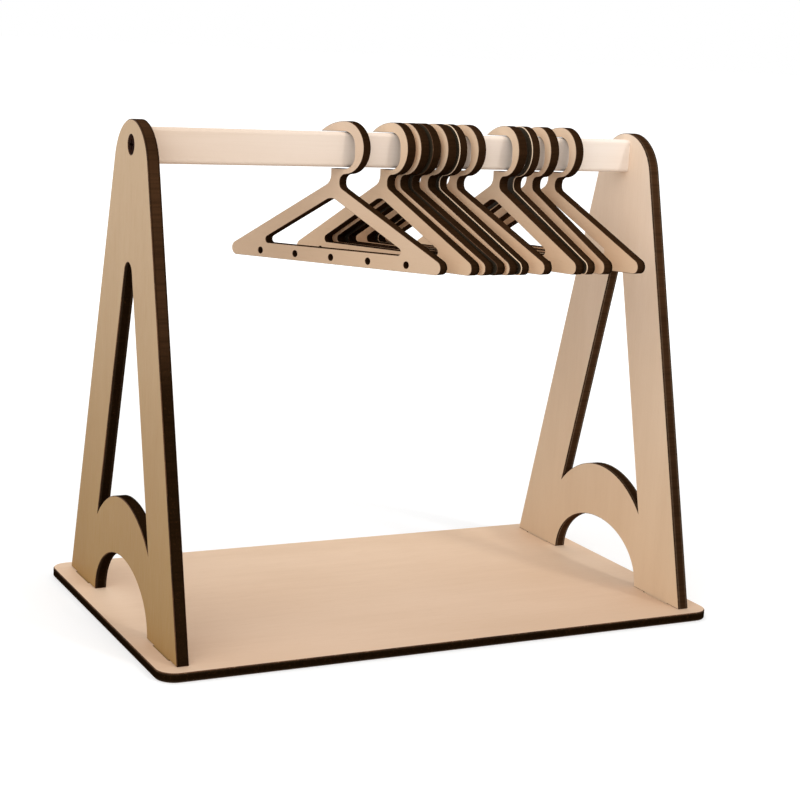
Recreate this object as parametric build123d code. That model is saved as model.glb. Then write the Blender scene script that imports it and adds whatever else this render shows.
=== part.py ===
"""Small display stand shaped like a clothes rail.

Two A-shaped plywood frames stand on a plywood base and carry a flat wooden bar. Eleven plywood
hangers hook over the bar and slide along it. Each hanger has a row of holes for ear wires.

Origin: centre of the base's underside. +X runs along the bar, -Y is the front, +Z is up.
Millimetres throughout.
"""
from build123d import *
import os
from math import acos, asin, atan2, cos, degrees, hypot, radians, sin, sqrt, tan

# Base plate
BASE_LENGTH = 200.0
BASE_DEPTH = 118.0
BASE_THICKNESS = 3.0
BASE_CORNER_RADIUS = 6.0

# Side frames, heights measured from the top of the base
FRAME_THICKNESS = 4.0
FRAME_INSET = 6.5             # from the base's end to the frame's outer face
FRAME_FOOT_WIDTH = 108.4      # over both feet
FRAME_HEIGHT = 159.4
FRAME_TOP_RADIUS = 16.2
LEG_WIDTH = 20.7              # square to the leg
WINDOW_APEX_RADIUS = 3.6
WINDOW_CORNER_HEIGHT = 27.1   # the two low sharp corners of the window
HUMP_HEIGHT = 38.3            # top of the round cross-piece
ARCH_WIDTH = 53.4
ARCH_HEIGHT = 18.9

# Tabs under the frames, which sit in slots through the base
TAB_WIDTH = 14.0
TAB_CLEARANCE = 0.1

# Hanging bar
BAR_HEIGHT = 11.3
BAR_DEPTH = 5.0
BAR_EDGE_RADIUS = 1.2
BAR_BELOW_TOP = 7.9           # from the top of the frames down to the bar's centre

# Countersunk screws through the frames into the bar's ends
SCREW_DIAMETER = 3.0
SCREW_HEAD_DIAMETER = 6.0
SCREW_LENGTH = 18.0
SCREW_HEAD_RIM = 0.3
SCREW_SUNK = 0.1              # head below the frame's outer face
SCREW_CLEARANCE = 0.1
PILOT_CLEARANCE = 0.03
CROSS_LENGTH = 3.2
CROSS_WIDTH = 0.8
CROSS_DEPTH = 0.9

# Hanger: places along it are measured from the bar's centre line, towards the rear
HANGER_THICKNESS = 3.4
HANGER_SPAN = 112.0           # between the sharp corners, before they are rounded
HANGER_CENTRE = 4.9           # the triangle's middle lies this far behind the bar's
HANGER_SWING = 2.7            # degrees, front up: its weight lies behind the bar
SHOULDER_ANGLE = 26.1
SHOULDER_DROP = 10.6          # bar centre down to the sharp top of the shoulders
TIP_RADIUS = 2.3
ARM_WIDTH = 4.55              # square to the arm
RAIL_HEIGHT = 5.1             # bottom rail, which holds the holes
WINDOW_TOP_RADIUS = 5.0
WINDOW_TIP_RADIUS = 1.2
NECK_WIDTH = 4.0
NECK_CENTRE = 3.2
NECK_HOOK_FILLET = 2.6        # in front, under the hook
NECK_SHOULDER_FILLET = 2.2    # in front, over the shoulder
NECK_REAR_FILLET = 4.0
HOOK_FILLET_SHARE = 0.6       # at most, of the room between the hook and the shoulder
SHOULDER_FILLET_SHARE = 0.5

# Hook of the hanger
HOOK_RADIUS = 8.6
HOOK_FORWARD = 0.95           # from the bar's centre line to the middle of the round
HOOK_RAISED = 0.5             # from the bar's centre up to the middle of the round
HOOK_TIP_REACH = 10.0
HOOK_BAND = 4.0               # at the front of the hook
HOOK_SEAT_GAP = 0.1           # over the bar
HOOK_PLAY = 0.7               # under the bar
SLOT_CORNER_RADIUS = 4.7

# Holes for ear wires
HOLE_DIAMETER = 2.2
HOLE_PITCH = 16.9
HOLE_COUNT = 5
HOLE_ABOVE_EDGE = 2.3

# Where the hangers hang: from the right frame to the first one, each one's turn in degrees,
# front tip towards +X, and the least clear gap from each to the one on its left
FIRST_HANGER_FROM_FRAME = 109.7
HANGER_TURNS = (20.8, 11.1, 11.2, 11.2, 9.1, 9.1, 11.8, 5.2, 3.7, 2.3, 7.7)
HANGER_GAPS = (6.7, 1.4, 0.9, 1.0, 0.9, 0.9, 8.2, 0.9, 3.2, 0.9)

# Places that follow from the sizes above
FRAME_OUTER_X = BASE_LENGTH / 2 - FRAME_INSET
FRAME_INNER_X = FRAME_OUTER_X - FRAME_THICKNESS
BAR_CENTRE_HEIGHT = FRAME_HEIGHT - BAR_BELOW_TOP
BAR_Z = BASE_THICKNESS + BAR_CENTRE_HEIGHT
FIRST_HANGER_X = FRAME_INNER_X - FIRST_HANGER_FROM_FRAME
TOP_CENTRE = FRAME_HEIGHT - FRAME_TOP_RADIUS
FOOT_HALF = FRAME_FOOT_WIDTH / 2
LEG_LEAN = acos(FRAME_TOP_RADIUS / hypot(FOOT_HALF, TOP_CENTRE)) - atan2(TOP_CENTRE, FOOT_HALF)
TAB_CENTRE = (FOOT_HALF + ARCH_WIDTH / 2) / 2
HANGER_EDGE = -SHOULDER_DROP - HANGER_SPAN / 2 * tan(radians(SHOULDER_ANGLE))
SWING_SHIFT = (BAR_HEIGHT / 2 - HANGER_EDGE) * sin(radians(HANGER_SWING))
SWING_LIFT = BAR_DEPTH / 2 * tan(radians(HANGER_SWING))
TIP_CUT = TIP_RADIUS / sin(radians(SHOULDER_ANGLE) / 2) - TIP_RADIUS
FRONT_TIP = HANGER_CENTRE - HANGER_SPAN / 2 + TIP_CUT - SWING_SHIFT
REAR_TIP = HANGER_CENTRE + HANGER_SPAN / 2 - TIP_CUT - SWING_SHIFT
CUTTER_EXTRA = 5.0            # how far a cutting shape runs past what it cuts


def nearest_corner(sketch, along, up):
    """The sketch's vertex closest to a point."""
    return min(sketch.vertices(), key=lambda v: hypot(v.X - along, v.Y - up))


def box_between(low, high):
    """A rectangle from its low corner to its high corner."""
    centre = Pos((low[0] + high[0]) / 2, (low[1] + high[1]) / 2)
    return centre * Rectangle(high[0] - low[0], high[1] - low[1])


def base_plate():
    """Flat board with rounded corners and a slot for each tab."""
    outline = RectangleRounded(BASE_LENGTH, BASE_DEPTH, BASE_CORNER_RADIUS)
    slot = Rectangle(FRAME_THICKNESS + 2 * TAB_CLEARANCE, TAB_WIDTH + 2 * TAB_CLEARANCE)
    frame_middle = FRAME_OUTER_X - FRAME_THICKNESS / 2
    for side in (-1, 1):
        for foot in (-1, 1):
            outline -= Pos(side * frame_middle, foot * TAB_CENTRE) * slot
    return extrude(outline, BASE_THICKNESS)


def frame_window():
    """Tall opening between the legs, with a rounded top and a hump as its floor."""
    inner = FOOT_HALF * cos(LEG_LEAN) - LEG_WIDTH
    apex_centre = (inner - WINDOW_APEX_RADIUS) / sin(LEG_LEAN)
    touch_y = WINDOW_APEX_RADIUS * cos(LEG_LEAN)
    touch_z = apex_centre + WINDOW_APEX_RADIUS * sin(LEG_LEAN)
    corner_y = (inner - WINDOW_CORNER_HEIGHT * sin(LEG_LEAN)) / cos(LEG_LEAN)
    top = (0, apex_centre + WINDOW_APEX_RADIUS)
    return make_face([
        Line((corner_y, WINDOW_CORNER_HEIGHT), (touch_y, touch_z)),
        ThreePointArc((touch_y, touch_z), top, (-touch_y, touch_z)),
        Line((-touch_y, touch_z), (-corner_y, WINDOW_CORNER_HEIGHT)),
        ThreePointArc((-corner_y, WINDOW_CORNER_HEIGHT), (0, HUMP_HEIGHT), (corner_y, WINDOW_CORNER_HEIGHT)),
    ])


def side_frame(side):
    """One A-shaped frame; side is -1 for the left one and +1 for the right one."""
    touch_y = FRAME_TOP_RADIUS * cos(LEG_LEAN)
    touch_z = TOP_CENTRE + FRAME_TOP_RADIUS * sin(LEG_LEAN)
    outline = make_face([
        Line((-FOOT_HALF, 0), (FOOT_HALF, 0)),
        Line((FOOT_HALF, 0), (touch_y, touch_z)),
        ThreePointArc((touch_y, touch_z), (0, FRAME_HEIGHT), (-touch_y, touch_z)),
        Line((-touch_y, touch_z), (-FOOT_HALF, 0)),
    ])
    for foot in (-1, 1):
        middle = foot * TAB_CENTRE
        outline += box_between((middle - TAB_WIDTH / 2, -BASE_THICKNESS), (middle + TAB_WIDTH / 2, 0))
    outline -= frame_window()
    outline -= Ellipse(ARCH_WIDTH / 2, ARCH_HEIGHT)
    outline -= Pos(0, BAR_CENTRE_HEIGHT) * Circle(SCREW_DIAMETER / 2 + SCREW_CLEARANCE)
    start = FRAME_INNER_X if side > 0 else -FRAME_OUTER_X
    frame = Pos(start, 0, BASE_THICKNESS) * extrude(Plane.YZ * outline, FRAME_THICKNESS)
    return frame - screw_head(side, SCREW_CLEARANCE)


def screw_head(side, extra):
    """Cone of a countersunk head, flush with the frame's outer face; extra makes it a recess."""
    head_radius = SCREW_HEAD_DIAMETER / 2 + extra
    cone_height = (SCREW_HEAD_DIAMETER - SCREW_DIAMETER) / 2
    outer = FRAME_OUTER_X + (CUTTER_EXTRA if extra else -SCREW_SUNK)
    rim_start = FRAME_OUTER_X - SCREW_SUNK - SCREW_HEAD_RIM
    profile = make_face(Polyline(
        (rim_start - cone_height - extra, 0),
        (rim_start - cone_height - extra, SCREW_DIAMETER / 2),
        (rim_start - extra, head_radius),
        (outer, head_radius),
        (outer, 0),
        close=True,
    ))
    head = Pos(0, 0, BAR_Z) * revolve(profile, Axis.X, 360)
    return head if side > 0 else mirror(head, Plane.YZ)


def hanging_bar():
    """Flat strip between the frames, its long edges rounded, with a pilot hole in each end."""
    section = RectangleRounded(BAR_DEPTH, BAR_HEIGHT, BAR_EDGE_RADIUS)
    length = 2 * FRAME_INNER_X
    bar = Pos(-FRAME_INNER_X, 0, BAR_Z) * extrude(Plane.YZ * section, length)
    hole_depth = SCREW_LENGTH - FRAME_THICKNESS + SCREW_CLEARANCE
    hole = Cylinder(SCREW_DIAMETER / 2 + PILOT_CLEARANCE, hole_depth, rotation=(0, 90, 0))
    for side in (-1, 1):
        bar -= Pos(side * (FRAME_INNER_X - hole_depth / 2), 0, BAR_Z) * hole
    return bar


def bar_screws():
    """The two screws, one through each frame."""
    screws = []
    for side in (-1, 1):
        shank_length = SCREW_LENGTH - SCREW_HEAD_RIM
        shank_middle = FRAME_OUTER_X - SCREW_SUNK - SCREW_HEAD_RIM - shank_length / 2
        shank = Cylinder(SCREW_DIAMETER / 2, shank_length, rotation=(0, 90, 0))
        screw = Pos(side * shank_middle, 0, BAR_Z) * shank + screw_head(side, 0)
        face = Pos(side * (FRAME_OUTER_X - SCREW_SUNK - CROSS_DEPTH / 2), 0, BAR_Z)
        screw -= face * Box(CROSS_DEPTH, CROSS_LENGTH, CROSS_WIDTH)
        screw -= face * Box(CROSS_DEPTH, CROSS_WIDTH, CROSS_LENGTH)
        screws.append(screw)
    return Compound(children=screws)


def hook_underside(along):
    """Height of the hook's round underside at a place along the hanger."""
    return HOOK_RAISED - sqrt(HOOK_RADIUS ** 2 - (along + HOOK_FORWARD) ** 2)


def hook_outline(neck_front, slot_top):
    """Round front of the hook and its flatter rear end, still without the slot for the bar."""
    top = (-HOOK_FORWARD, HOOK_RAISED + HOOK_RADIUS)
    reach = HOOK_TIP_REACH + HOOK_FORWARD
    rise = HOOK_RAISED + HOOK_RADIUS - slot_top
    rear_radius = (reach ** 2 + rise ** 2) / (2 * rise)
    half_turn = asin(reach / rear_radius) / 2
    rear_middle = (top[0] + rear_radius * sin(half_turn), top[1] - rear_radius * (1 - cos(half_turn)))
    low = (neck_front, hook_underside(neck_front))
    return make_face([
        ThreePointArc((HOOK_TIP_REACH, slot_top), rear_middle, top),
        ThreePointArc(top, (-HOOK_FORWARD - HOOK_RADIUS, HOOK_RAISED), low),
        Line(low, (neck_front, slot_top)),
        Line((neck_front, slot_top), (HOOK_TIP_REACH, slot_top)),
    ])


def hanger_window():
    """Triangular opening, parallel to the shoulders and to the bottom edge."""
    slope = tan(radians(SHOULDER_ANGLE))
    top = -SHOULDER_DROP - ARM_WIDTH / cos(radians(SHOULDER_ANGLE))
    floor = HANGER_EDGE + RAIL_HEIGHT
    half = (top - floor) / slope
    corners = [(HANGER_CENTRE - half, floor), (HANGER_CENTRE + half, floor), (HANGER_CENTRE, top)]
    window = make_face(Polyline(*corners, close=True))
    for corner, radius in zip(corners, (WINDOW_TIP_RADIUS, WINDOW_TIP_RADIUS, WINDOW_TOP_RADIUS)):
        window = fillet(nearest_corner(window, *corner), radius)
    return window


def hanger_outline():
    """Face of a hanger: first axis to the rear, second axis up, origin at the bar's centre."""
    slope = tan(radians(SHOULDER_ANGLE))
    slot_top = BAR_HEIGHT / 2 + HOOK_SEAT_GAP
    slot_bottom = -BAR_HEIGHT / 2 - HOOK_PLAY
    neck_front = NECK_CENTRE - NECK_WIDTH / 2
    neck_rear = NECK_CENTRE + NECK_WIDTH / 2

    tips = [(HANGER_CENTRE + side * HANGER_SPAN / 2, HANGER_EDGE) for side in (-1, 1)]
    face = make_face(Polyline(*tips, (HANGER_CENTRE, -SHOULDER_DROP), close=True))
    for tip in tips:
        face = fillet(nearest_corner(face, *tip), TIP_RADIUS)
    neck_foot = -SHOULDER_DROP - HOOK_BAND
    face += box_between((neck_front, neck_foot), (neck_rear, slot_bottom))
    face += hook_outline(neck_front, slot_top)

    shoulder_front = -SHOULDER_DROP - abs(HANGER_CENTRE - neck_front) * slope
    shoulder_rear = -SHOULDER_DROP - abs(neck_rear - HANGER_CENTRE) * slope
    hook_low = hook_underside(neck_front)
    room = hook_low - shoulder_front
    hook_fillet = min(NECK_HOOK_FILLET, HOOK_FILLET_SHARE * room)
    shoulder_fillet = min(NECK_SHOULDER_FILLET, SHOULDER_FILLET_SHARE * room)
    face = fillet(nearest_corner(face, neck_front, hook_low), hook_fillet)
    face = fillet(nearest_corner(face, neck_front, shoulder_front), shoulder_fillet)
    face = fillet(nearest_corner(face, neck_rear, shoulder_rear), NECK_REAR_FILLET)

    slot_front = HOOK_BAND - HOOK_FORWARD - HOOK_RADIUS
    slot = box_between((slot_front, slot_bottom), (HOOK_TIP_REACH + CUTTER_EXTRA, slot_top))
    for height in (slot_bottom, slot_top):
        slot = fillet(nearest_corner(slot, slot_front, height), SLOT_CORNER_RADIUS)
    face -= slot
    face -= hanger_window()
    for index in range(HOLE_COUNT):
        along = HANGER_CENTRE + (index - (HOLE_COUNT - 1) / 2) * HOLE_PITCH
        face -= Pos(along, HANGER_EDGE + HOLE_ABOVE_EDGE) * Circle(HOLE_DIAMETER / 2)
    return face


def swung_hanger():
    """A hanger tilted about the bar's top and lifted clear of it, still square to the bar."""
    blank = extrude(Plane.YZ * hanger_outline(), HANGER_THICKNESS / 2, both=True)
    tilted = Rot(-HANGER_SWING, 0, 0) * Pos(0, 0, -BAR_HEIGHT / 2) * blank
    return Pos(0, 0, BAR_HEIGHT / 2 + SWING_LIFT) * tilted


def hanger_places():
    """Place on the bar and turn of each hanger, from the least gap between neighbours."""
    places = [(FIRST_HANGER_X, HANGER_TURNS[0])]
    for turn, gap in zip(HANGER_TURNS[1:], HANGER_GAPS):
        left_x, left_turn = places[-1]
        half_plates = sum(HANGER_THICKNESS / 2 / cos(radians(angle)) for angle in (left_turn, turn))
        spread = sin(radians(turn)) - sin(radians(left_turn))
        fan = max(FRONT_TIP * spread, REAR_TIP * spread)
        places.append((left_x + half_plates + gap + fan, turn))
    return places


def save(name, shape):
    """Write one node; the file's name is the node's name."""
    export_step(shape, f"parts/{name}.step")
    size = shape.bounding_box().size
    print(f"{name}: {size.X:.1f} x {size.Y:.1f} x {size.Z:.1f} mm")


def main():
    os.makedirs("parts", exist_ok=True)
    save("base_plate", base_plate())
    save("left_side_frame", side_frame(-1))
    save("right_side_frame", side_frame(1))
    save("hanging_bar", hanging_bar())
    save("bar_screws", bar_screws())
    hanger = swung_hanger()
    for number, (x, turn) in enumerate(hanger_places(), start=1):
        print(f"hanger {number}: x {x:.2f} mm, turned {turn} degrees")
        save(f"hanger_{number:02d}", Pos(x, 0, BAR_Z) * Rot(0, 0, turn) * hanger)


main()
print(f"legs lean {degrees(LEG_LEAN):.2f} degrees")
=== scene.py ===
"""Looks of the small plywood display stand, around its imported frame.

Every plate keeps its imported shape. Its faces get birch veneer, its cut edges get the dark, charred
plies that a laser leaves. Metres; +X along the bar, -Y to the front, +Z up.
"""
import math
from typing import NamedTuple

import bpy
from mathutils import Matrix, Vector


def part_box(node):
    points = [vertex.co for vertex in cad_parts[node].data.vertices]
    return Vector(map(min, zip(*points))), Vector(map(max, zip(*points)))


MM = 0.001

# Camera, solved from the straight edges of the stand in the photograph
FOCAL_PIXELS = 1797.4
IMAGE_PIXELS = 800.0
SENSOR_MM = 36.0
CAMERA_PLACE = (-273.7 * MM, -536.6 * MM, 191.9 * MM)
CAMERA_YAW = math.radians(27.44)      # from +Y towards +X
CAMERA_PITCH = math.radians(-11.44)   # below the horizon
CAMERA_ROLL = math.radians(3.15)

# Lamps: name, place, size in metres and power in watts
LAMPS = (
    ("key", (0.5, -0.95, 1.0), 0.15, 4.0),
    ("left", (-1.0, -0.7, 0.85), 1.5, 10.6),
    ("rear_top", (0.1, 0.8, 1.0), 0.6, 1.6),
)
LAMP_TARGET = (0.0, 0.0, 0.08)
FILL_STRENGTH = 0.75           # of the white surroundings, as light on the stand

# Floor; its glow grows outwards, so that the stand's shadow shows near the base and fades away from it
FLOOR_SIZE = 30.0
FLOOR_GAP = 0.0002
FLOOR_GREY = 0.65
GLOW_REACH = (0.15, 0.9)       # distances from the stand's middle
GLOW_STRENGTH = (0.4, 0.75)    # at those distances


def srgb(red, green, blue):
    """A colour as seen on a screen, 0 to 255, as linear light."""
    def linear(value):
        value /= 255.0
        return value / 12.92 if value <= 0.04045 else ((value + 0.055) / 1.055) ** 2.4
    return (linear(red), linear(green), linear(blue), 1.0)


class Shader:
    """A node tree that is built from short calls."""

    def __init__(self, name):
        self.material = bpy.data.materials.new(name)
        self.material.use_nodes = True
        self.tree = self.material.node_tree
        self.tree.nodes.clear()
        self.output = self.node("ShaderNodeOutputMaterial")
        self.bsdf = self.node("ShaderNodeBsdfPrincipled")
        self.link(self.bsdf.outputs["BSDF"], self.output.inputs["Surface"])

    def node(self, kind, **settings):
        made = self.tree.nodes.new(kind)
        for key, value in settings.items():
            setattr(made, key, value)
        return made

    def link(self, source, target):
        self.tree.links.new(source, target)

    def feed(self, target, value):
        """Link a socket, or set a plain value."""
        if isinstance(value, bpy.types.NodeSocket):
            self.link(value, target)
        else:
            target.default_value = value

    def math(self, operation, first, second=0.0, third=0.0):
        made = self.node("ShaderNodeMath", operation=operation)
        for index, value in enumerate((first, second, third)):
            self.feed(made.inputs[index], value)
        return made.outputs[0]

    def noise(self, vector, scale, detail=3.0, roughness=0.5):
        made = self.node("ShaderNodeTexNoise")
        self.feed(made.inputs["Vector"], vector)
        made.inputs["Scale"].default_value = scale
        made.inputs["Detail"].default_value = detail
        made.inputs["Roughness"].default_value = roughness
        return made.outputs["Fac"]

    def stretch(self, vector, scale, shift=(0.0, 0.0, 0.0)):
        """Coordinates scaled and moved."""
        made = self.node("ShaderNodeMapping", vector_type="POINT")
        self.feed(made.inputs["Vector"], vector)
        made.inputs["Location"].default_value = shift
        made.inputs["Scale"].default_value = scale
        return made.outputs["Vector"]

    def spread(self, value, low, high, to_low=0.0, to_high=1.0):
        """Map a value from one range to another, smoothly and clamped."""
        made = self.node("ShaderNodeMapRange", interpolation_type="SMOOTHSTEP")
        self.feed(made.inputs["Value"], value)
        made.inputs["From Min"].default_value = low
        made.inputs["From Max"].default_value = high
        made.inputs["To Min"].default_value = to_low
        made.inputs["To Max"].default_value = to_high
        return made.outputs["Result"]

    def mix(self, factor, first, second, blend="MIX"):
        made = self.node("ShaderNodeMix", data_type="RGBA", blend_type=blend)
        self.feed(made.inputs[0], factor)
        self.feed(made.inputs[6], first)
        self.feed(made.inputs[7], second)
        return made.outputs[2]

    def bump(self, height, strength, distance):
        made = self.node("ShaderNodeBump")
        made.inputs["Strength"].default_value = strength
        made.inputs["Distance"].default_value = distance
        self.link(height, made.inputs["Height"])
        self.link(made.outputs["Normal"], self.bsdf.inputs["Normal"])

    def dot(self, vector, axis):
        made = self.node("ShaderNodeVectorMath", operation="DOT_PRODUCT")
        self.link(vector, made.inputs[0])
        made.inputs[1].default_value = axis
        return made.outputs["Value"]


# Across the plate, along its grain, and the third direction, for each way that a plate stands
FLAT = ((0, 0, 1), (1, 0, 0), (0, 1, 0))
UPRIGHT = ((1, 0, 0), (0, 0, 1), (0, 1, 0))
HANGER = ((1, 0, 0), (0, 1, 0), (0, 0, 1))


class Burn(NamedTuple):
    """How a cut edge is burnt. Its brown core can change between two heights."""

    core: float                # strength of the brown core
    plies: float               # strength of the two paler plies
    low: float = 0.0           # the two heights, and the core's share at each
    high: float = 0.2
    low_share: float = 1.0
    high_share: float = 1.0


BASE_BURN = Burn(0.08, 0.1)
LEFT_BURN = Burn(0.9, 0.0, 0.078, 0.112, 0.2, 1.05)
LEFT_INNER_BURN = Burn(0.9, 0.1, low_share=0.1, high_share=0.1)
RIGHT_BURN = Burn(1.0, 0.4, 0.03, 0.12, 0.55, 1.05)
RIGHT_INNER_BURN = Burn(1.0, 0.7)
LEFT_HANGER_BURN = Burn(0.46, 0.0)
RIGHT_HANGER_BURN = Burn(0.6, 0.0)
LEFT_HANGERS = 6               # how many hangers, from the left, have the darker edges

# Width of the browned rim between a face and a cut edge
BOARD_RIM = 0.25 * MM
RIGHT_FRAME_RIM = 0.18 * MM
HANGER_RIM = 0.12 * MM
PALE_HANGER_RIM = 0.22 * MM

# How a plate's mesh is read and prepared for the rim
FACE_COSINE = 0.7              # between the plate's direction across and the normal of its faces
WELD_DISTANCE = 0.001 * MM
FLAT_ANGLE = math.radians(0.5)
RIM_ANGLE = math.radians(50)
VENEER_SLOT, EDGE_SLOT, RIM_SLOT, INNER_SLOT, SMOKED_SLOT = range(5)

# Face colours as seen on a screen. Painted light: the tone drifts from the first, at a piece's low, left or
# front end, to the lighter second, so a piece is brighter towards its top, its right or its rear
# Base: painted light, brighter towards the rear
BASE_FACES = ((212, 182, 155), (230, 200, 171))
# Left frame: darker than the right frame, and painted shade darkens it a good deal towards its foot
LEFT_FRAME_FACES = ((155, 121, 73), (191, 163, 131))
# Right frame: painted light, brighter towards its top
RIGHT_FRAME_FACES = ((214, 187, 156), (238, 217, 196))
# Hangers: painted light, brighter towards the hook
HANGER_FACES = ((205, 177, 149), (214, 189, 165))
# Hangers after the first: lighter faces, painted light that offsets the shade of their neighbours
PAINTED_LIGHT_HANGER_FACES = ((214, 184, 153), (225, 200, 173))
SMOKED_FACES = ((44, 37, 27), (50, 43, 31))
# Bar: painted light, brighter towards its right end
BAR_FACES = ((225, 204, 185), (246, 234, 223))

# Colours of the laser's cut
CHAR = (16, 8, 2)
BURNT_CORE = (67, 44, 27)
PALE_PLY = (112, 92, 74)
SMOKE = (88, 57, 36)

# Hangers with a side that the laser smoked, shown to the left
SMOKED_HANGERS = ("hanger_04", "hanger_06", "hanger_09")
PALE_RIMMED = ("hanger_06", "hanger_09")


def turned(axes, turn):
    """The three directions, turned about Z."""
    matrix = Matrix.Rotation(turn, 3, "Z")
    return [tuple(matrix @ Vector(axis)) for axis in axes]


def shade(colour, red, green=None, blue=None):
    """A screen colour with its channels scaled, as linear light."""
    green = red if green is None else green
    blue = red if blue is None else blue
    return srgb(min(255, colour[0] * red), min(255, colour[1] * green), min(255, colour[2] * blue))


def sheet_coordinates(shader, axes, turn, seed):
    """Coordinates along and across the grain in a plate's own face, and the three directions."""
    directions = turned(axes, turn)
    place = shader.node("ShaderNodeTexCoord").outputs["Object"]
    flat = shader.node("ShaderNodeCombineXYZ")
    shader.feed(flat.inputs[0], shader.dot(place, directions[1]))
    shader.feed(flat.inputs[1], shader.dot(place, directions[2]))
    flat.inputs[2].default_value = seed
    return flat.outputs[0], place, directions


def wood_colour(shader, position, ends, faces, broad, fibres):
    """Tone with painted light, drifting to the lighter second colour between two ends of a piece, with
    broad patches and fine fibres.
    """
    painted_light_drift = shader.spread(position, *ends)
    light = shader.mix(painted_light_drift, *[shade(face, 1.012) for face in faces])
    dark = shader.mix(painted_light_drift, *[shade(face, 0.983, 0.972, 0.958) for face in faces])
    colour = shader.mix(shader.spread(broad, 0.36, 0.64), light, dark)
    return shader.mix(shader.spread(fibres, 0.45, 0.8, 0.0, 0.12), colour, shade(faces[0], 0.9, 0.86, 0.8))


def veneer(name, faces, ends, axes, painted_light_axis, turn=0.0, seed=0.0):
    """Sanded birch veneer: soft broad tone, faint streaks, fine fibres and short pores, and painted light
    towards one end.
    """
    shader = Shader(name)
    sheet, place, _ = sheet_coordinates(shader, axes, turn, seed)
    position = shader.dot(place, painted_light_axis)
    broad = shader.noise(shader.stretch(sheet, (9, 22, 1)), 1.0, 2.0)
    streaks = shader.noise(shader.stretch(sheet, (16, 240, 1)), 1.0, 4.0, 0.6)
    fibres = shader.noise(shader.stretch(sheet, (110, 2600, 1)), 1.0, 3.0, 0.6)
    pores = shader.noise(shader.stretch(sheet, (420, 3600, 1)), 1.0, 1.0)
    tone = shader.math("MULTIPLY_ADD", broad, 0.75, shader.math("MULTIPLY", streaks, 0.25))
    colour = wood_colour(shader, position, ends, faces, tone, fibres)
    pore_dark = shade(faces[0], 0.74, 0.66, 0.57)
    colour = shader.mix(shader.spread(pores, 0.68, 0.82, 0.0, 0.22), colour, pore_dark)
    shader.link(colour, shader.bsdf.inputs["Base Color"])
    shader.link(shader.spread(fibres, 0.3, 0.7, 0.55, 0.7), shader.bsdf.inputs["Roughness"])
    shader.bsdf.inputs["Specular IOR Level"].default_value = 0.2
    shader.bump(fibres, 0.2, 0.04 * MM)
    return shader.material


def burnt_edge(name, burn, axes, middle, thickness, turn=0.0, seed=0.0):
    """Cut edge: dark at the faces, a brown core, two paler plies, and fine burn lines through the sheet."""
    shader = Shader(name)
    sheet, place, directions = sheet_coordinates(shader, axes, turn, seed)
    depth = shader.math("SUBTRACT", shader.dot(place, directions[0]), middle)
    depth = shader.math("DIVIDE", shader.math("ABSOLUTE", depth), thickness / 2)
    lines = shader.noise(shader.stretch(sheet, (1300, 1300, 1)), 1.0, 2.0)
    patches = shader.noise(shader.stretch(sheet, (45, 45, 1)), 1.0, 2.0)
    grit = shader.noise(place, 2600.0, 2.0)
    core = shader.spread(depth, 0.55, 1.0, 1.0, 0.1)
    core = shader.math("MULTIPLY", core, shader.spread(patches, 0.35, 0.65, 0.75 * burn.core, burn.core))
    height = shader.dot(place, (0, 0, 1))
    share = shader.spread(height, burn.low, burn.high, burn.low_share, burn.high_share)
    core = shader.math("MULTIPLY", core, share)
    colour = shader.mix(core, srgb(*CHAR), srgb(*BURNT_CORE))
    ply_start = shader.spread(depth, 0.5, 0.66)
    ply_end = shader.spread(depth, 0.72, 0.88, 1.0, 0.0)
    plies = shader.math("MULTIPLY", shader.math("MULTIPLY", ply_start, ply_end), burn.plies)
    colour = shader.mix(plies, colour, srgb(*PALE_PLY))
    colour = shader.mix(shader.spread(lines, 0.4, 0.7, 0.0, 0.3), colour, shade(CHAR, 0.5))
    brown_grit = shade(BURNT_CORE, 1.4, 1.35, 1.3)
    colour = shader.mix(shader.spread(grit, 0.55, 0.8, 0.0, 0.25), colour, brown_grit)
    shader.link(colour, shader.bsdf.inputs["Base Color"])
    shader.link(shader.spread(grit, 0.3, 0.7, 0.7, 0.95), shader.bsdf.inputs["Roughness"])
    shader.bsdf.inputs["Specular IOR Level"].default_value = 0.0
    shader.bump(lines, 0.15, 0.05 * MM)
    return shader.material


def smoked_rim(name, face, seed):
    """The veneer's own edge, browned in patches where the cut came through."""
    shader = Shader(name)
    place = shader.node("ShaderNodeTexCoord").outputs["Object"]
    patches = shader.noise(shader.stretch(place, (90, 90, 90), shift=(seed, 0.0, 0.0)), 1.0, 3.0)
    specks = shader.noise(place, 1500.0, 2.0)
    colour = shader.mix(shader.spread(patches, 0.35, 0.65), srgb(*SMOKE), shade(SMOKE, 0.55, 0.5, 0.45))
    colour = shader.mix(shader.spread(specks, 0.55, 0.75, 0.0, 0.4), colour, shade(face, 0.85, 0.8, 0.74))
    shader.link(colour, shader.bsdf.inputs["Base Color"])
    shader.link(shader.spread(specks, 0.3, 0.7, 0.6, 0.8), shader.bsdf.inputs["Roughness"])
    shader.bsdf.inputs["Specular IOR Level"].default_value = 0.15
    return shader.material


def bare_wood(name, faces, ends):
    """Pale sanded strip with its grain along X, and painted light that brightens it towards +X."""
    shader = Shader(name)
    place = shader.node("ShaderNodeTexCoord").outputs["Object"]
    broad = shader.noise(shader.stretch(place, (8, 60, 60)), 1.0, 2.0)
    fibres = shader.noise(shader.stretch(place, (40, 2200, 2200)), 1.0, 4.0, 0.6)
    colour = wood_colour(shader, shader.dot(place, (1, 0, 0)), ends, faces, broad, fibres)
    shader.link(colour, shader.bsdf.inputs["Base Color"])
    shader.link(shader.spread(fibres, 0.3, 0.7, 0.5, 0.65), shader.bsdf.inputs["Roughness"])
    shader.bsdf.inputs["Specular IOR Level"].default_value = 0.2
    shader.bump(fibres, 0.15, 0.03 * MM)
    return shader.material


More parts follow.
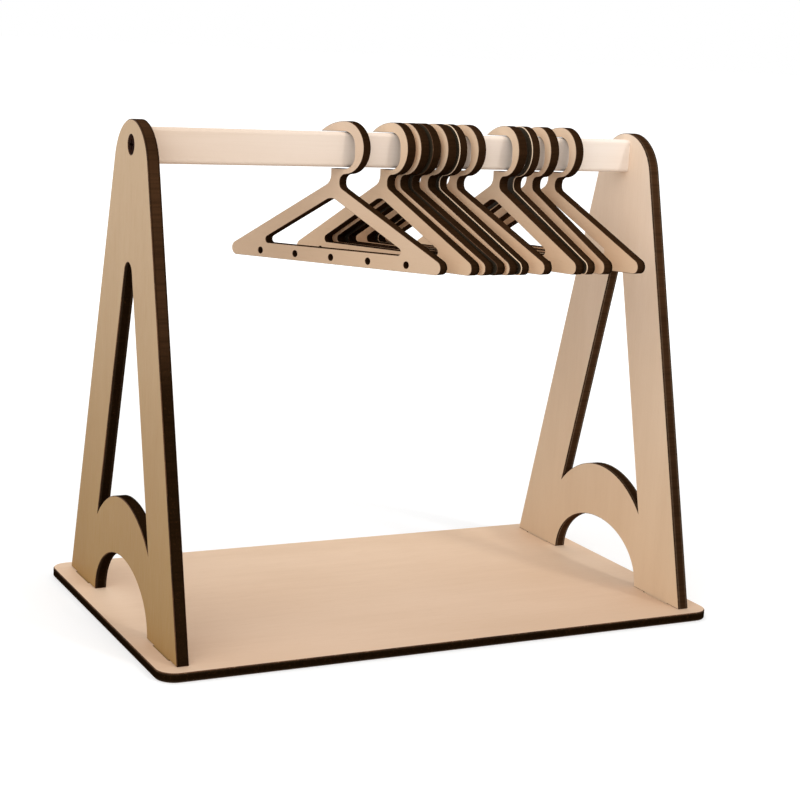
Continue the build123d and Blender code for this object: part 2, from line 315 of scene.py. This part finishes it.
def black_steel(name):
    """Blackened screw with faint scuffs."""
    shader = Shader(name)
    place = shader.node("ShaderNodeTexCoord").outputs["Object"]
    scuffs = shader.noise(place, 900.0, 3.0)
    colour = shader.mix(shader.spread(scuffs, 0.4, 0.8), srgb(24, 9, 3), srgb(46, 20, 7))
    shader.link(colour, shader.bsdf.inputs["Base Color"])
    shader.link(shader.spread(scuffs, 0.3, 0.7, 0.6, 0.8), shader.bsdf.inputs["Roughness"])
    shader.bsdf.inputs["Specular IOR Level"].default_value = 0.01
    return shader.material


def paint(node, material):
    """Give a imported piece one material."""
    node.data.materials.clear()
    node.data.materials.append(material)


def slot_of(polygon, name, axes, across):
    """Which of a plate's materials a polygon gets."""
    facing = polygon.normal.dot(across)
    if name in SMOKED_HANGERS and facing < -FACE_COSINE:
        return SMOKED_SLOT
    if abs(facing) > FACE_COSINE:
        return VENEER_SLOT
    inward = axes is UPRIGHT and polygon.normal.y * polygon.center.y <= 0
    return INNER_SLOT if inward else EDGE_SLOT


def add_rim(node, width):
    """A narrow bevel along the sharp edges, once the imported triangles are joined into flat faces."""
    weld = node.modifiers.new("weld", "WELD")
    weld.merge_threshold = WELD_DISTANCE
    flats = node.modifiers.new("flats", "DECIMATE")
    flats.decimate_type = "DISSOLVE"
    flats.angle_limit = FLAT_ANGLE
    flats.delimit = {"MATERIAL"}
    rim = node.modifiers.new("rim", "BEVEL")
    rim.width = width
    rim.segments = 1
    rim.limit_method = "ANGLE"
    rim.angle_limit = RIM_ANGLE
    rim.use_clamp_overlap = False
    rim.material = RIM_SLOT


def dress_plate(name, faces, axes, burn, inner_burn, rim_width, turn=0.0, seed=0.0):
    """Veneer on a plate's faces, burnt cut edges, and a thin browned rim between them."""
    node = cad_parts[name]
    across = Vector(turned(axes, turn)[0])
    # The painted light runs from front to rear on the base, and upwards on the frames and hangers
    painted_light_axis = Vector((0, 1, 0)) if axes is FLAT else Vector((0, 0, 1))
    reach = [vertex.co.dot(across) for vertex in node.data.vertices]
    middle, thickness = (min(reach) + max(reach)) / 2, max(reach) - min(reach)
    ends = [corner.dot(painted_light_axis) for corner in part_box(name)]
    grain = (ends, axes, painted_light_axis, turn, seed)
    cut = (axes, middle, thickness, turn, seed)
    wood = veneer(name + "_veneer", faces, *grain)
    inner = burnt_edge(name + "_inner_edge", inner_burn, *cut)
    paint(node, wood)
    slots = node.data.materials
    slots.append(burnt_edge(name + "_edge", burn, *cut))
    slots.append(wood if name in PALE_RIMMED else smoked_rim(name + "_rim", faces[0], seed))
    slots.append(inner)
    if name in SMOKED_HANGERS:
        slots.append(veneer(name + "_smoked", SMOKED_FACES, *grain))
    for polygon in node.data.polygons:
        polygon.material_index = slot_of(polygon, name, axes, across)
    add_rim(node, rim_width)


def hanger_turn(name):
    """How far a hanger is turned about Z, from its frontmost and rearmost points."""
    places = [vertex.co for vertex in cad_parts[name].data.vertices]
    rear = max(places, key=lambda place: place.y)
    front = min(places, key=lambda place: place.y)
    return math.atan2(front.x - rear.x, rear.y - front.y)


def dress():
    """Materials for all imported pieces."""
    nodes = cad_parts
    dress_plate("base_plate", BASE_FACES, FLAT, BASE_BURN, BASE_BURN, BOARD_RIM, seed=1.0)
    dress_plate("left_side_frame", LEFT_FRAME_FACES, UPRIGHT, LEFT_BURN, LEFT_INNER_BURN,
                BOARD_RIM, seed=2.0)
    dress_plate("right_side_frame", RIGHT_FRAME_FACES, UPRIGHT, RIGHT_BURN, RIGHT_INNER_BURN,
                RIGHT_FRAME_RIM, seed=3.0)
    low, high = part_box("hanging_bar")
    paint(nodes["hanging_bar"], bare_wood("bar_wood", BAR_FACES, (low.x, high.x)))
    paint(nodes["bar_screws"], black_steel("black_screw"))
    for index, name in enumerate(sorted(n for n in nodes if n.startswith("hanger_"))):
        # Every hanger but the first gets the lighter faces of painted light, against its neighbours' shade
        faces = PAINTED_LIGHT_HANGER_FACES if index else HANGER_FACES
        burn = LEFT_HANGER_BURN if index < LEFT_HANGERS else RIGHT_HANGER_BURN
        rim_width = PALE_HANGER_RIM if name in PALE_RIMMED else HANGER_RIM
        dress_plate(name, faces, HANGER, burn, burn, rim_width, hanger_turn(name), 5.0 + index)


def camera():
    """The photograph's view."""
    yaw, pitch, roll = CAMERA_YAW, CAMERA_PITCH, CAMERA_ROLL
    forward = Vector((math.sin(yaw) * math.cos(pitch), math.cos(yaw) * math.cos(pitch), math.sin(pitch)))
    right = Vector((math.cos(yaw), -math.sin(yaw), 0.0))
    up = right.cross(forward)
    right, up = math.cos(roll) * right + math.sin(roll) * up, math.cos(roll) * up - math.sin(roll) * right
    data = bpy.data.cameras.new("camera")
    data.sensor_width = SENSOR_MM
    data.lens = SENSOR_MM * FOCAL_PIXELS / IMAGE_PIXELS
    data.clip_start = 0.01
    data.clip_end = 50.0
    made = bpy.data.objects.new("camera", data)
    made.matrix_world = Matrix((
        (right.x, up.x, -forward.x, CAMERA_PLACE[0]),
        (right.y, up.y, -forward.y, CAMERA_PLACE[1]),
        (right.z, up.z, -forward.z, CAMERA_PLACE[2]),
        (0.0, 0.0, 0.0, 1.0),
    ))
    bpy.context.scene.collection.objects.link(made)
    bpy.context.scene.camera = made


def area_light(name, place, target, size, power):
    """A square soft box that faces a point."""
    data = bpy.data.lights.new(name, "AREA")
    data.size = size
    data.energy = power
    made = bpy.data.objects.new(name, data)
    made.location = place
    made.rotation_mode = "QUATERNION"
    made.rotation_quaternion = (Vector(target) - Vector(place)).to_track_quat("-Z", "Y")
    bpy.context.scene.collection.objects.link(made)


def floor_white():
    """Pale floor that looks white to the camera, a little less so where the stand's shadow lies."""
    shader = Shader("floor_white")
    shader.bsdf.inputs["Base Color"].default_value = (FLOOR_GREY, FLOOR_GREY, FLOOR_GREY, 1.0)
    shader.bsdf.inputs["Roughness"].default_value = 0.9
    shader.bsdf.inputs["Specular IOR Level"].default_value = 0.0
    shader.bsdf.inputs["Emission Color"].default_value = (1.0, 1.0, 1.0, 1.0)
    rays = shader.node("ShaderNodeLightPath")
    seen = rays.outputs["Is Camera Ray"]
    for other in ("Is Glossy Ray", "Is Transmission Ray"):
        seen = shader.math("MAXIMUM", seen, rays.outputs[other])
    place = shader.node("ShaderNodeTexCoord").outputs["Object"]
    distance = shader.node("ShaderNodeVectorMath", operation="LENGTH")
    shader.link(place, distance.inputs[0])
    glow = shader.spread(distance.outputs["Value"], *GLOW_REACH, *GLOW_STRENGTH)
    shader.link(shader.math("MULTIPLY", seen, glow), shader.bsdf.inputs["Emission Strength"])
    return shader.material


def studio():
    """White surroundings, a pale floor and three soft lamps."""
    scene = bpy.context.scene
    scene.view_settings.view_transform = "Standard"
    world = bpy.data.worlds.new("studio")
    scene.world = world
    world.use_nodes = True
    tree = world.node_tree
    tree.nodes.clear()
    output = tree.nodes.new("ShaderNodeOutputWorld")
    fill = tree.nodes.new("ShaderNodeBackground")
    fill.inputs["Color"].default_value = (1.0, 1.0, 1.0, 1.0)
    fill.inputs["Strength"].default_value = FILL_STRENGTH
    white = tree.nodes.new("ShaderNodeBackground")
    white.inputs["Color"].default_value = (1.0, 1.0, 1.0, 1.0)
    white.inputs["Strength"].default_value = 1.0
    rays = tree.nodes.new("ShaderNodeLightPath")
    seen = rays.outputs["Is Camera Ray"]
    for other in ("Is Glossy Ray", "Is Transmission Ray"):
        either = tree.nodes.new("ShaderNodeMath")
        either.operation = "MAXIMUM"
        tree.links.new(seen, either.inputs[0])
        tree.links.new(rays.outputs[other], either.inputs[1])
        seen = either.outputs[0]
    mix = tree.nodes.new("ShaderNodeMixShader")
    tree.links.new(seen, mix.inputs[0])
    tree.links.new(fill.outputs[0], mix.inputs[1])
    tree.links.new(white.outputs[0], mix.inputs[2])
    tree.links.new(mix.outputs[0], output.inputs["Surface"])

    bpy.ops.mesh.primitive_plane_add(size=FLOOR_SIZE, location=(0.0, 0.0, -FLOOR_GAP))
    floor = bpy.context.object
    floor.name = "floor"
    floor.data.materials.append(floor_white())

    for name, place, size, power in LAMPS:
        area_light(name, place, LAMP_TARGET, size, power)


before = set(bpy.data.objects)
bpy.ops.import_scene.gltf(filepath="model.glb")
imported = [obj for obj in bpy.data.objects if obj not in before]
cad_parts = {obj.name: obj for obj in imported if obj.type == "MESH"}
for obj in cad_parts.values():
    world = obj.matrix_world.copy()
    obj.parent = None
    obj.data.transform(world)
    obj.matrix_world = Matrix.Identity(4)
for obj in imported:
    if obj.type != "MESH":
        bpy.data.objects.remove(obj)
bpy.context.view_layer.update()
camera()
studio()
dress()
